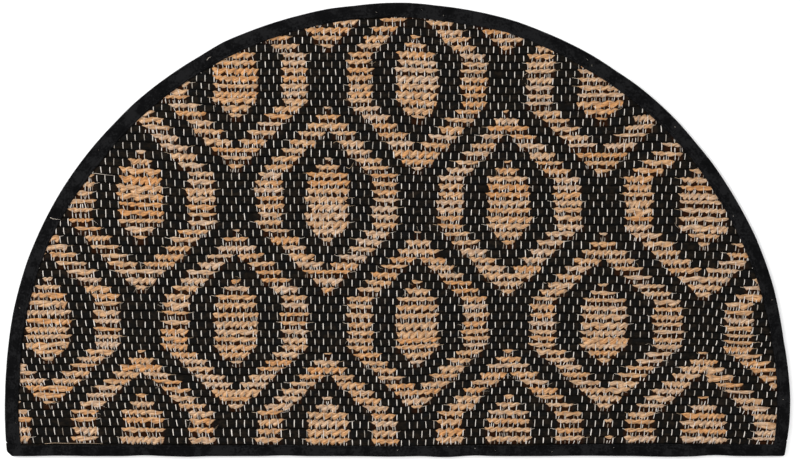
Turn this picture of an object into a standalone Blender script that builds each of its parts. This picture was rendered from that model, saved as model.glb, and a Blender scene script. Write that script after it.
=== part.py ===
import math

import bmesh
import bpy

# Half-moon mat: a circle cut off by a straight edge that lies past its centre
ARC_RADIUS = 0.350
STRAIGHT_DROP = 0.055
MAT_DEPTH = ARC_RADIUS + STRAIGHT_DROP
# The origin is under the middle of the mat's box, with the straight edge toward -Y
CENTRE_Y = MAT_DEPTH / 2 - ARC_RADIUS
LEFT_CORNER_CUT = 0.0045
RIGHT_CORNER_CUT = 0.0012
INNER_CORNER_CUT = 0.0008

# Cotton tape folded over the edge
TAPE_THICK = 0.0009
ARC_TAPE_FACE = 0.0122
STRAIGHT_TAPE_FACE = 0.0107
BOUND_HEIGHT = 0.0056
FOLD_REACH = 0.0024
FOLD_SHOULDER = 0.0009
LEFT_LAP = 0.0120
RIGHT_LAP = 0.0138
GAP = 0.0003

# Weft rows of the cloth, each a low rib across the mat
ROWS = 53
ROW_TAPER = 0.046
RIB_CREST = 0.0060
RIB_GROOVE = 0.0047
RIB_SHOULDER = 0.0057
SHOULDER_AT = 0.24
SPARE_ROWS = 2

ARC_STEPS = 80
STRAIGHT_STEPS = 40
RIB_COLUMNS = 15
SPARE = 0.012
SMOOTH_BELOW = math.radians(35)

RAG_AND_JUTE = (0.115, 0.078, 0.053)
BLACK_COTTON = (0.009, 0.009, 0.010)

# Where the round edge bulges out or draws in: angle, half width (degrees), outward (metres)
ARC_BUMPS = [
    (-3.0, 7.0, 0.0013),
    (9.5, 5.0, -0.0011),
    (20.0, 5.0, 0.0005),
    (30.0, 5.0, -0.0010),
    (39.5, 3.5, -0.0007),
    (46.0, 5.0, 0.0006),
    (56.0, 4.5, -0.0008),
    (68.0, 4.5, -0.0005),
    (89.0, 5.0, 0.0004),
    (115.0, 5.5, 0.0011),
    (136.0, 4.0, -0.0006),
    (147.0, 8.0, 0.0007),
    (159.0, 5.0, 0.0006),
    (175.5, 7.5, -0.0012),
    (188.0, 4.0, 0.0008),
]

# The same for the straight edge: place along it, half width, outward
STRAIGHT_BUMPS = [
    (-0.301, 0.030, -0.0004),
    (-0.225, 0.022, -0.0007),
    (-0.186, 0.022, 0.0006),
    (-0.100, 0.025, -0.0005),
    (-0.005, 0.030, 0.0005),
    (0.043, 0.022, 0.0009),
    (0.072, 0.018, -0.0005),
    (0.168, 0.040, -0.0003),
    (0.245, 0.040, 0.0007),
    (0.286, 0.022, -0.0008),
]

# How far the beaten rows have drifted toward the straight edge, at five places across the mat
DRIFT_X = [-0.300, -0.120, 0.0, 0.120, 0.280]
ROW_DRIFT = [
    (2, [-0.0030, 0.0009, 0.0002, 0.0030, 0.0020]),
    (12, [-0.0050, -0.0028, -0.0011, 0.0006, -0.0008]),
    (19, [-0.0045, -0.0021, -0.0002, 0.0013, 0.0017]),
    (26, [-0.0039, -0.0024, 0.0, 0.0005, 0.0011]),
    (32, [-0.0019, -0.0009, 0.0011, 0.0016, 0.0028]),
    (38, [-0.0005, 0.0018, 0.0028, 0.0017, 0.0023]),
    (42, [-0.0019, 0.0011, 0.0014, -0.0017, 0.0]),
    (46, [-0.0038, -0.0007, 0.0006, -0.0024, -0.0004]),
    (51, [-0.0036, -0.0018, 0.0002, -0.0018, 0.0010]),
]


def clear_scene():
    for thing in list(bpy.data.objects):
        bpy.data.objects.remove(thing, do_unlink=True)


def cloth_material(name, colour, roughness):
    material = bpy.data.materials.new(name)
    material.use_nodes = True
    shader = material.node_tree.nodes["Principled BSDF"]
    shader.inputs["Base Color"].default_value = (*colour, 1.0)
    shader.inputs["Roughness"].default_value = roughness
    shader.inputs["Metallic"].default_value = 0.0
    material.diffuse_color = (*colour, 1.0)
    return material


def bumps_at(place, bumps):
    """Sum of the raised-cosine bumps that reach this place."""
    outward = 0.0
    for middle, half_width, height in bumps:
        t = abs(place - middle) / half_width
        if t < 1.0:
            outward += height * (0.5 + 0.5 * math.cos(math.pi * t))
    return outward


def half_moon(radius, drop, left_cut, right_cut, uneven=0.0):
    """Outline points, anticlockwise: the round edge from the right corner, then the straight edge."""
    corner = math.asin(drop / radius)
    start = -corner + right_cut / radius
    end = math.pi + corner - left_cut / radius
    points = []
    for i in range(ARC_STEPS + 1):
        angle = start + (end - start) * i / ARC_STEPS
        reach = radius + uneven * bumps_at(math.degrees(angle), ARC_BUMPS)
        points.append((reach * math.cos(angle), CENTRE_Y + reach * math.sin(angle)))
    half_length = radius * math.cos(corner)
    left, right = -half_length + left_cut, half_length - right_cut
    for i in range(STRAIGHT_STEPS + 1):
        x = left + (right - left) * i / STRAIGHT_STEPS
        points.append((x, CENTRE_Y - drop - uneven * bumps_at(x, STRAIGHT_BUMPS)))
    return points


def outer_outline():
    return half_moon(ARC_RADIUS, STRAIGHT_DROP, LEFT_CORNER_CUT, RIGHT_CORNER_CUT, 1.0)


def inner_outline(clearance=0.0):
    return half_moon(
        ARC_RADIUS - ARC_TAPE_FACE - clearance,
        STRAIGHT_DROP - STRAIGHT_TAPE_FACE - clearance,
        INNER_CORNER_CUT,
        INNER_CORNER_CUT,
    )


def between(outer, inner, distance):
    """Outline this far in from the outer one, on the way to the inner one."""
    points = []
    for (ox, oy), (ix, iy) in zip(outer, inner):
        share = distance / ARC_TAPE_FACE
        points.append((ox + (ix - ox) * share, oy + (iy - oy) * share))
    return points


def new_object(name, bm):
    bmesh.ops.recalc_face_normals(bm, faces=bm.faces)
    mesh = bpy.data.meshes.new(name)
    bm.to_mesh(mesh)
    bm.free()
    thing = bpy.data.objects.new(name, mesh)
    bpy.context.scene.collection.objects.link(thing)
    return thing


def prism(name, outline, bottom, top):
    bm = bmesh.new()
    face = bm.faces.new([bm.verts.new((x, y, bottom)) for x, y in outline])
    grown = bmesh.ops.extrude_face_region(bm, geom=[face])
    for part in grown["geom"]:
        if isinstance(part, bmesh.types.BMVert):
            part.co.z = top
    return new_object(name, bm)


def apply_boolean(thing, cutter, operation):
    modifier = thing.modifiers.new(operation.title(), "BOOLEAN")
    modifier.operation = operation
    modifier.solver = "EXACT"
    modifier.object = cutter
    with bpy.context.temp_override(object=thing, active_object=thing):
        bpy.ops.object.modifier_apply(modifier=modifier.name)
    bpy.data.objects.remove(cutter, do_unlink=True)


def dress(thing, name, material):
    thing.name = thing.data.name = name
    thing.data.materials.clear()
    thing.data.materials.append(material)
    thing.data.shade_smooth()
    thing.data.set_sharp_from_angle(angle=SMOOTH_BELOW)


def drift_at(row, x):
    """How far a row has drifted toward the straight edge, read smoothly from the table."""
    def across(shifts):
        if x <= DRIFT_X[0]:
            return shifts[0]
        for left in range(len(DRIFT_X) - 1):
            if x <= DRIFT_X[left + 1]:
                t = (x - DRIFT_X[left]) / (DRIFT_X[left + 1] - DRIFT_X[left])
                ease = t * t * (3 - 2 * t)
                return shifts[left] + (shifts[left + 1] - shifts[left]) * ease
        return shifts[-1]

    if row <= ROW_DRIFT[0][0]:
        return across(ROW_DRIFT[0][1])
    for (row_a, shifts_a), (row_b, shifts_b) in zip(ROW_DRIFT, ROW_DRIFT[1:]):
        if row <= row_b:
            t = (row - row_a) / (row_b - row_a)
            ease = t * t * (3 - 2 * t)
            return across(shifts_a) + (across(shifts_b) - across(shifts_a)) * ease
    return across(ROW_DRIFT[-1][1])


def row_y(row, x):
    """Y of a place in the rows, counted down from the first groove; rows grow closer toward the end."""
    first = CENTRE_Y + ARC_RADIUS - ARC_TAPE_FACE
    last = CENTRE_Y - STRAIGHT_DROP + STRAIGHT_TAPE_FACE
    share = row / ROWS
    return first - (first - last) * (share + ROW_TAPER * share * (1 - share)) - drift_at(row, x)


def ribbed_slab():
    """A slab wider than the mat, with a rib for each weft row on its top."""
    heights = [
        (0.0, RIB_GROOVE),
        (SHOULDER_AT, RIB_SHOULDER),
        (0.5, RIB_CREST),
        (1 - SHOULDER_AT, RIB_SHOULDER),
    ]
    stops = []
    for row in range(-SPARE_ROWS, ROWS + SPARE_ROWS):
        stops += [(row + part, z) for part, z in heights]
    stops.append((ROWS + SPARE_ROWS, RIB_GROOVE))
    half_width = ARC_RADIUS + SPARE
    columns = [half_width * (2 * i / RIB_COLUMNS - 1) for i in range(RIB_COLUMNS + 1)]
    bm = bmesh.new()
    top = [[bm.verts.new((x, row_y(row, x), z)) for x in columns] for row, z in stops]
    for upper, lower in zip(top, top[1:]):
        for i in range(RIB_COLUMNS):
            bm.faces.new((upper[i], lower[i], lower[i + 1], upper[i + 1]))
    right = [line[-1] for line in top[1:-1]]
    left = [line[0] for line in top[-2:0:-1]]
    rim = top[0] + right + top[-1][::-1] + left
    base = [bm.verts.new((v.co.x, v.co.y, 0.0)) for v in rim]
    for i in range(len(rim)):
        j = (i + 1) % len(rim)
        bm.faces.new((rim[i], rim[j], base[j], base[i]))
    bm.faces.new(base)
    return new_object("ribbed_slab", bm)


def woven_field(material):
    """The cloth, ribbed where it shows, with its thinner cut edge reaching in under the tape."""
    field = ribbed_slab()
    apply_boolean(field, prism("visible_cut", inner_outline(GAP), -SPARE, SPARE), "INTERSECT")
    edge_in = FOLD_SHOULDER + 2 * GAP
    edge = between(outer_outline(), inner_outline(), edge_in)
    plate = prism("pressed_edge", edge, TAPE_THICK + GAP, BOUND_HEIGHT - TAPE_THICK - GAP)
    apply_boolean(field, plate, "UNION")
    dress(field, "woven_field", material)


def folded_ring():
    """The whole ring of tape: a U lying on its side, swept around the outline."""
    outer, inner = outer_outline(), inner_outline()
    middle = BOUND_HEIGHT / 2
    top_in = BOUND_HEIGHT - TAPE_THICK
    pocket = FOLD_SHOULDER + GAP
    section = [
        (ARC_TAPE_FACE, 0.0),
        (FOLD_REACH, 0.0),
        (FOLD_SHOULDER / 2, TAPE_THICK),
        (0.0, middle),
        (FOLD_SHOULDER / 2, top_in),
        (FOLD_REACH, BOUND_HEIGHT),
        (ARC_TAPE_FACE, BOUND_HEIGHT),
        (ARC_TAPE_FACE, top_in),
        (pocket, top_in),
        (pocket, TAPE_THICK),
        (ARC_TAPE_FACE, TAPE_THICK),
    ]
    bm = bmesh.new()
    lines = []
    for distance, z in section:
        line = between(outer, inner, distance)
        lines.append([bm.verts.new((x, y, z)) for x, y in line])
    count = len(outer)
    for a in range(len(section)):
        b = (a + 1) % len(section)
        for i in range(count):
            j = (i + 1) % count
            bm.faces.new((lines[a][i], lines[a][j], lines[b][j], lines[b][i]))
    return new_object("folded_ring", bm)


def corner_cutter(clearance):
    """A block over the straight edge, up to where its tape laps over the round edge's tape."""
    edge = CENTRE_Y - STRAIGHT_DROP
    reach = ARC_RADIUS + SPARE
    outline = [
        (-reach, edge - SPARE),
        (reach, edge - SPARE),
        (reach, edge + RIGHT_LAP + clearance),
        (-reach, edge + LEFT_LAP + clearance),
    ]
    return prism("corner_cutter", outline, -SPARE, SPARE)


def binding(name, clearance, operation, material):
    tape = folded_ring()
    apply_boolean(tape, corner_cutter(clearance), operation)
    dress(tape, name, material)


clear_scene()
woven_field(cloth_material("rag and jute cloth", RAG_AND_JUTE, 0.9))
black_tape = cloth_material("black cotton tape", BLACK_COTTON, 0.85)
binding("arc_binding", GAP, "DIFFERENCE", black_tape)
binding("straight_binding", 0.0, "INTERSECT", black_tape)
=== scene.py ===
import math

import bpy
import numpy as np
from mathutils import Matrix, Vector, noise


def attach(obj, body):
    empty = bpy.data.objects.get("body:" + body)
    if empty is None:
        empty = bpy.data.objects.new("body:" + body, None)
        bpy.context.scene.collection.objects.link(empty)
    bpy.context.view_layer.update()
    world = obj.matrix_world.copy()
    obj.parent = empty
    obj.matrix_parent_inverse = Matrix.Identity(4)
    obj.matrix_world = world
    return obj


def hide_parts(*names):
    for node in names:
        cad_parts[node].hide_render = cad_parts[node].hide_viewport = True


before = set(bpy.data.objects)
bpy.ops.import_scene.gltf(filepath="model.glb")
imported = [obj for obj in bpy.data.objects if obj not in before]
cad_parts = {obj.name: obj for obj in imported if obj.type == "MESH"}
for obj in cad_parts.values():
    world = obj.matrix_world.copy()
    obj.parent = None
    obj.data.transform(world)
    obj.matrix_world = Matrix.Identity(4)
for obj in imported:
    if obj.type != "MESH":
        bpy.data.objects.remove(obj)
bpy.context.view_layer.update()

rng = np.random.default_rng(53)

# The half-moon in plan, in metres. The origin is under the middle of its box.
mat = {
    "radius": 0.35,
    "drop": 0.055,  # from the circle's centre down to the straight edge
    "arcTape": 0.0122,  # width of the tape's face on the round edge
    "straightTape": 0.0107,
    "tapeTop": 0.0056,
    "thick": 0.006,
}
circleY = (mat["drop"] - mat["radius"]) / 2
innerRadius = mat["radius"] - mat["arcTape"]
innerStraight = circleY - mat["drop"] + mat["straightTape"]
firstGroove = circleY + innerRadius

# The weave's rows and warp ticks. Row 0 is under the tape at the top.
weave = {
    "rows": 53,
    "taper": 0.046,  # rows lie closer toward the straight edge
    "phase": 4,  # motif row of the first row
    "repeatRows": 30,
    "halfDrop": 15,
    "halfStep": 11,  # warp ticks from one column of motifs to the next
    "motifX": [-0.3105, -0.2287, -0.143, -0.0609, 0.0192, 0.1004, 0.1858, 0.2748],
}

# How far the rows have drifted toward the straight edge, in tenths of a mm: row, then a value for each driftX
driftX = [-0.315, -0.265, -0.225, -0.185, -0.145, -0.1, -0.05, 0, 0.05, 0.1, 0.145, 0.185, 0.225, 0.265, 0.315]
rowDrift = [
    [1, 22, 22, 22, 22, 22, 22, 20, 12, 43, 37, 37, 37, 37, 37, 37],
    [4, 19, 19, 19, 19, 19, 18, 20, 5, 28, 37, 31, 31, 31, 31, 31],
    [8, -21, -21, -21, -21, 6, -2, 2, -4, 14, 22, 16, 14, 14, 14, 14],
    [11, -47, -47, -47, -46, -32, -22, -18, -19, 9, 15, 18, 5, -29, -29, -29],
    [14, -77, -77, -77, -49, -26, -25, -18, -12, 15, 4, 19, 13, -4, 8, 8],
    [17, -87, -87, -71, -39, -13, -15, -2, 5, 19, 19, 32, 25, 16, 24, 24],
    [20, -78, -78, -50, -26, -19, -22, -17, -3, 9, 16, 22, 24, 18, 27, 27],
    [23, -71, -71, -42, -19, -22, -25, -21, -5, 7, 14, 9, 12, 11, 13, 28],
    [26, -46, -35, -39, -15, -19, -23, -20, 0, 8, 2, 1, 14, 15, 17, 36],
    [29, -26, -18, -12, -7, -11, -20, -9, 17, 20, 22, 15, 28, 32, 33, 50],
    [32, -15, -15, -21, -12, -4, -13, -8, 11, 19, 18, 23, 40, 43, 50, 64],
    [35, -25, -13, -14, -4, -3, -3, 11, 19, 9, 5, 9, 28, 34, 40, 69],
    [38, -2, 1, 12, 19, 25, 23, 32, 40, 23, 13, 28, 30, 33, 36, 65],
    [41, -8, -12, -2, 12, 19, 16, 22, 27, -1, -14, -1, -1, 12, 13, 35],
    [44, -26, -27, -22, 0, 8, 1, 4, 17, -10, -22, -15, -12, -4, -4, 12],
    [47, -39, -40, -35, -11, -3, -11, -5, 11, -14, -27, -20, -19, -14, -8, 8],
    [50, -31, -31, -32, -18, -16, -23, -6, 4, -17, -26, -17, -14, -9, -2, 14],
    [52, -3, -6, 4, 3, 5, 15, 18, 27, 5, 1, 0, 0, -4, -2, 17],
]

# How far the warps stand toward +X, in tenths of a mm: row, then a value for each leanX
leanX = [-0.318, -0.264, -0.211, -0.157, -0.104, 0.0, 0.057, 0.111, 0.164, 0.218, 0.272, 0.325]
warpLeans = [
    [3, 0, 0, 0, 0, 0, -7, -13, -19, -27, -20, 0, 0],
    [8, 0, 0, 0, -2, -2, -3, -6, -22, -31, -20, 0, 0],
    [14, 0, -6, -1, -1, 0, 1, 1, -14, -30, -16, 0, 0],
    [19, -4, -12, 2, 0, -1, 1, -1, -9, -19, -13, 2, 0],
    [25, -8, -12, 4, 3, 0, 0, -1, -4, -10, -8, 8, 4],
    [30, -12, -8, 11, 6, 0, -1, -2, -3, -5, -8, 6, 0],
    [36, -12, 2, 11, 3, -1, -2, -2, -2, -3, -2, -2, -3],
    [41, -4, 8, 7, 0, -2, -2, 0, 0, 0, 1, -3, -12],
    [47, 4, 14, 13, 0, -2, -1, 0, 1, 2, 2, 1, 2],
    [52, 14, 30, 26, 3, -2, 0, 0, 2, 2, 1, 2, 2],
]

# One motif, charted row by row: half widths in warp ticks of the jute core, of the black ring's outside
# and of the jute ring's outside
motif = [
    (0, 0, 0.5), (0, 0, 1.6), (0, 0, 2.6), (0, 0.25, 3.5), (0, 1.2, 4.6), (0, 2.3, 5.6), (0.6, 3.2, 6.6),
    (1.5, 4.2, 7.5), (2.5, 5.3, 8.5), (2.6, 5.4, 8.7), (2.7, 5.3, 8.7), (2.7, 5.3, 8.7), (2.7, 5.3, 8.7),
    (2.7, 5.4, 8.7), (2.7, 5.4, 8.7), (1.8, 4.4, 7.8), (0.8, 3.4, 6.8), (0, 2.5, 5.7), (0, 1.4, 4.8),
    (0, 0.3, 3.9), (0, 0, 2.9), (0, 0, 1.9), (0, 0, 0.8),
]
tinyFloats = [(50, 66.5), (52, 66.5)]  # row and place of a stray catch of jute
tinyHalf = 0.42  # half its width in warp ticks
bend = {  # the weave bends away from the tape at the upper left, so two motifs are shifted by warp ticks
    "firstColumn": 2.6, "secondColumn": 1.3,
    "rows": (12, 19),  # of the second column; the first is shifted in all rows before 19
}
wovenRows = range(-1, weave["rows"])  # the first is mostly under the tape

# Where one rag strip is joined to the next, a lump that swallows a warp tick or two
ragJoins = [
    (0.1519, 0.1142), (-0.0411, 0.0659), (0.218, -0.0985), (0.1582, -0.153), (-0.1894, -0.1369), (0.169, 0.0357),
    (0.19, 0.0352),
]


def eased(t):
    t = np.clip(t, 0.0, 1.0)
    return t * t * (3 - 2 * t)


def stepAndShare(at, places):  # which step between places, and how far along it
    at = np.clip(at, places[0], places[-1])
    step = np.clip(np.searchsorted(places, at, side="right") - 1, 0, len(places) - 2)
    return step, eased((at - places[step]) / (places[step + 1] - places[step]))


def fieldAt(places, table, x, row):  # mm between the lines and columns of a table in tenths
    row, x = np.broadcast_arrays(np.asarray(row, float), np.asarray(x, float))
    table = np.array(table, float)
    values = table[:, 1:] / 10
    j, u = stepAndShare(x, np.array(places))
    i, v = stepAndShare(row, table[:, 0])
    near = values[i, j] * (1 - u) + values[i, j + 1] * u
    far = values[i + 1, j] * (1 - u) + values[i + 1, j + 1] * u
    return near * (1 - v) + far * v


def rowY(row, x):  # a row's place at x; row + 0.5 is its middle
    drift = fieldAt(driftX, rowDrift, x, row)
    share = np.asarray(row, float) / weave["rows"]
    straight = share + weave["taper"] * share * (1 - share)
    return firstGroove - (firstGroove - innerStraight) * straight - 0.001 * drift


motifTicks = np.arange(len(weave["motifX"])) * weave["halfStep"]


def warpX(tick, row):  # ticks count from the first column of motifs
    x = np.array(weave["motifX"])
    tick = np.asarray(tick, float)
    inside = np.interp(tick, motifTicks, x)
    before = (tick - motifTicks[0]) * (x[1] - x[0]) / weave["halfStep"]
    after = (tick - motifTicks[-1]) * (x[-1] - x[-2]) / weave["halfStep"]
    across = inside + np.where(tick < motifTicks[0], before, 0) + np.where(tick > motifTicks[-1], after, 0)
    return across + 0.001 * fieldAt(leanX, warpLeans, across, row)


# How far out, in mm, the round tape's inner edge stands from its circle, at degrees round the arc
innerEdge = [
    (-12, 3.6), (-4, 3.6), (2, 3.3), (8, 2.0), (16, 1.5), (24, 0.5), (32, 0), (40, 0.9), (48, 0.3), (60, -0.2),
    (68, 0.8), (73, 1.4), (80, -0.8), (90, 0.3), (106, 0.1), (120, -0.5), (132, -0.4), (142, -1.3), (149, 0),
    (157, 1.4), (165, 0.5), (172, 0.2), (178, -1.0), (184, 0.9), (192, 0.9),
]


def innerReach(degrees):
    return innerRadius + 0.001 * np.interp(degrees, *zip(*innerEdge))


def innerCornerX(degrees):
    return math.copysign(math.sqrt(innerReach(degrees) ** 2 - (mat["drop"] - mat["straightTape"]) ** 2), 90 - degrees)


# How far, in mm, the straight tape's inner edge stands nearer the outside than its line, at x in metres
straightEdge = [
    (-0.314, 1.1), (-0.207, 1.1), (-0.136, 0.9), (-0.1, 0.4), (-0.064, 1.2), (-0.029, 1.8), (0.007, 1.8),
    (0.043, 1.3), (0.114, 1.4), (0.15, 0), (0.186, -0.3), (0.222, -0.9), (0.257, -0.3), (0.329, 0),
]


def straightInner(x):
    return innerStraight - 0.001 * np.interp(x, *zip(*straightEdge))


def visibleInset(x, y):  # how far inside the tape's inner edge a place lies
    degrees = np.degrees(np.arctan2(y - circleY, x))
    degrees = np.where(degrees < -90, degrees + 360, degrees)
    return np.minimum(innerReach(degrees) - np.hypot(x, y - circleY), y - straightInner(x))


def pressedUnderTape(points):  # the cloth is squeezed thinner where the tape grips it
    grip = {"reach": 0.0032, "low": 0.0013, "keep": 0.5}
    share = eased(1 - visibleInset(points[:, 0], points[:, 1]) / grip["reach"])
    points[:, 2] += share * (grip["low"] + points[:, 2] * (grip["keep"] - 1))
    return points


def chartedFloats(row):  # tick spans where jute lies on top of this row
    spans = []
    for column in range(-1, len(weave["motifX"]) + 2):
        centre = column * weave["halfStep"]
        if column == 0 and row < bend["rows"][1]:
            centre -= bend["firstColumn"]
        drop = weave["halfDrop"] if column % 2 else 0
        m = (row + weave["phase"] - drop) % weave["repeatRows"]
        if m >= len(motif):
            continue
        core, near, far = motif[m]
        if near == 0:
            spans.append((centre - far, centre + far))
        else:
            left = bend["secondColumn"] if column == 1 and row in range(*bend["rows"]) else 0
            spans.append((centre - far - left, centre - near - left))
            spans.append((centre + near, centre + far))
        if core:
            spans.append((centre - core, centre + core))
    spans += [(tick - tinyHalf, tick + tinyHalf) for at, tick in tinyFloats if at == row]
    return sorted(spans)


# Where the yarn runs thicker or thinner for a few rows: x, y and how much
yarnPlaces = [
    (-0.235, 0.045, 0.2), (-0.185, 0.025, 0.12), (-0.2, 0.082, -0.2), (-0.165, 0.142, 0.18),
    (-0.158, -0.01, -0.18), (0.222, 0.02, 0.2), (0.262, -0.035, 0.14), (0.135, 0.118, -0.2), (0.2, -0.04, -0.2),
    (0.122, -0.1, -0.14), (0.045, -0.165, 0.12), (0.02, -0.192, 0.18), (-0.185, -0.102, 0.12),
    (-0.285, -0.042, -0.16), (0.242, -0.1, -0.14), (-0.315, -0.098, 0.2),
]


def yarnThickness(x, y):
    return 1 + sum(more * math.exp(-((x - px) ** 2 + (y - py) ** 2) / 0.024 ** 2) for px, py, more in yarnPlaces)


# Each float's own tapers, made once so that every kind of thread agrees on them
def layOutFloats():
    lay = {
        "endSpread": 0.0007,
        "short": 0.016,  # a float shorter than this is thinner, down to the least
        "least": 0.45,
        "long": 4.8,  # one that crosses more warp ticks than this is thicker
        "longMore": 1.07, "tails": (0.0016, 0.0058), "fatSpread": 0.22, "fatLimits": (0.66, 1.5),
        "sagSpread": 0.0004,
    }
    rows = {weave["rows"]: []}  # a row of plain rag under the straight tape
    for row in wovenRows:
        rows[row] = []
        for first, last in chartedFloats(row):
            x = warpX([first, last], row) + rng.normal(0, lay["endSpread"], 2)
            short = min(1.0, max(lay["least"], (x[1] - x[0]) / lay["short"]))
            thick = yarnThickness(x.mean(), float(rowY(row + 0.3, x.mean())))
            thick *= lay["longMore"] if last - first > lay["long"] else 1.0
            rows[row].append({
                "x": x,
                "tails": rng.uniform(*lay["tails"], 2) * short,
                "phase": rng.uniform(0, 2 * math.pi),
                "tone": rng.uniform(0, 1) - 1.2 * (thick - 1.02),  # the thicker yarn is the more orange
                "fat": float(np.clip(thick + rng.normal(0, lay["fatSpread"]), *lay["fatLimits"])) * short,
                "sag": rng.normal(0, lay["sagSpread"], 2),
            })
    return rows


floatsOf = layOutFloats()


def juteCover(row, x):  # 0 where the rag shows, 1 where a float lies full over it
    cover = np.zeros_like(x)
    for f in floatsOf[row]:
        rise = eased((x - f["x"][0]) / f["tails"][0])
        fall = eased((f["x"][1] - x) / f["tails"][1])
        cover = np.maximum(cover, rise * fall)
    return cover


# Many tubes gathered as arrays and joined into one mesh
def newBundle():
    return {"points": [], "faces": [], "caps": [], "uv": [], "capUv": [], "tone": [], "count": 0}


def addTubes(bundle, centres, across, up, sides, along, tone, square=1.0):
    # centres, across and up are (tubes, stations, 3), with across x up pointing along the tube
    tubes, stations = centres.shape[:2]
    turn = np.arange(sides) * 2 * math.pi / sides + math.pi / sides
    c, s = (np.sign(way) * np.abs(way) ** square for way in (np.cos(turn), np.sin(turn)))
    ring = centres[:, :, None] + across[:, :, None] * c[:, None] + up[:, :, None] * s[:, None]
    start = bundle["count"]
    index = start + np.arange(tubes * stations * sides).reshape(tubes, stations, sides)
    beside = np.roll(index, -1, axis=2)
    quads = np.stack([index[:, :-1], beside[:, :-1], beside[:, 1:], index[:, 1:]], axis=-1)
    v = np.arange(sides + 1) / sides
    uv = np.empty((tubes, stations - 1, sides, 4, 2))
    uv[..., 0, 0] = uv[..., 1, 0] = along[:, :-1, None]
    uv[..., 2, 0] = uv[..., 3, 0] = along[:, 1:, None]
    uv[..., 0, 1] = uv[..., 3, 1] = v[:-1]
    uv[..., 1, 1] = uv[..., 2, 1] = v[1:]
    bundle["points"].append(ring.reshape(-1, 3))
    bundle["faces"].append(quads.reshape(-1, 4))
    bundle["uv"].append(uv.reshape(-1, 2))
    bundle["caps"] += index[:, 0, ::-1].tolist() + index[:, -1].tolist()
    bundle["capUv"] += [np.repeat(along[:, end], sides) for end in (0, -1)]
    tone = np.asarray(tone, float)
    tone = np.broadcast_to(tone if tone.ndim == 2 else tone[:, None], (tubes, stations))
    bundle["tone"].append(np.repeat(tone.ravel(), sides))
    bundle["count"] = start + tubes * stations * sides


def sayTriangles(piece):
    print(piece.name, "has", sum(len(face.vertices) - 2 for face in piece.data.polygons), "triangles")


def joinedPiece(name, bundle, material, pressed=True):
    points = np.concatenate(bundle["points"])
    if pressed:
        points = pressedUnderTape(points)
    faces = np.concatenate(bundle["faces"]).tolist() + bundle["caps"]
    mesh = bpy.data.meshes.new(name)
    mesh.from_pydata(points.tolist(), [], faces)
    capU = np.concatenate(bundle["capUv"])
    uv = np.concatenate(bundle["uv"] + [np.stack([capU, np.full_like(capU, 0.5)], axis=-1)])
    mesh.uv_layers.new(name="alongThread").data.foreach_set("uv", uv.astype(np.float32).ravel())
    tone = mesh.attributes.new("tone", "FLOAT", "POINT")
    tone.data.foreach_set("value", np.concatenate(bundle["tone"]).astype(np.float32))
    mesh.shade_smooth()
    mesh.materials.append(material)
    piece = bpy.data.objects.new(name, mesh)
    bpy.context.scene.collection.objects.link(piece)
    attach(piece, "root")
    sayTriangles(piece)
    return piece


# Materials. A small helper adds a node and links or sets its inputs.
def addNode(tree, kind, settings=None, **inputs):
    made = tree.nodes.new(kind)
    for key, value in (settings or {}).items():
        setattr(made, key, value)
    for key, value in inputs.items():
        socket = made.inputs[int(key[1:]) if key[1:].isdigit() else key]
        if isinstance(value, bpy.types.NodeSocket):
            tree.links.new(value, socket)
        else:
            socket.default_value = value
    return made


def newCloth(name, roughness, specular):
    material = bpy.data.materials.new(name)
    material.use_nodes = True
    tree = material.node_tree
    shader = tree.nodes["Principled BSDF"]
    shader.inputs["Roughness"].default_value = roughness
    shader.inputs["Specular IOR Level"].default_value = specular
    return material, tree, shader


def attribute(tree, name="tone"):
    return addNode(tree, "ShaderNodeAttribute", {"attribute_name": name}).outputs["Fac"]


def placeOn(tree, kind):
    return addNode(tree, "ShaderNodeTexCoord").outputs[kind]


def scaledSum(tree, value, factor, more):
    return addNode(tree, "ShaderNodeMath", {"operation": "MULTIPLY_ADD"}, i0=value, i1=factor, i2=more).outputs[0]


def spread(tree, value, start, end, top=1.0):  # 0 at the start, top at the end
    return addNode(tree, "ShaderNodeMapRange", {"clamp": True}, i0=value, i1=start, i2=end, i4=top).outputs[0]


def colourRamp(tree, factor, stops):  # each stop has a place and a colour
    ramp = addNode(tree, "ShaderNodeValToRGB", i0=factor)
    elements = ramp.color_ramp.elements
    while len(elements) < len(stops):
        elements.new(0.5)
    for element, (place, colour) in zip(elements, stops.values()):
        element.position = place
        element.color = (*colour, 1.0)
    return ramp.outputs[0]


def mixColours(tree, factor, *colours):
    first, second = (each if isinstance(each, bpy.types.NodeSocket) else (*each, 1.0) for each in colours)
    return addNode(tree, "ShaderNodeMix", {"data_type": "RGBA"}, i0=factor, i6=first, i7=second).outputs[2]


def stretchedNoise(tree, coordinates, stretch, scale, detail=3.0, roughness=0.6):
    mapping = addNode(tree, "ShaderNodeMapping", Vector=coordinates, Scale=stretch)
    return addNode(tree, "ShaderNodeTexNoise", Vector=mapping.outputs[0], Scale=scale, Detail=detail,
                   Roughness=roughness).outputs["Fac"]


def paint(tree, shader, colour):
    tree.links.new(colour, shader.inputs["Base Color"])


def addBump(tree, shader, height, strength, distance):
    bump = addNode(tree, "ShaderNodeBump", Height=height, Strength=strength, Distance=distance)
    tree.links.new(bump.outputs[0], shader.inputs["Normal"])


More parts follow.
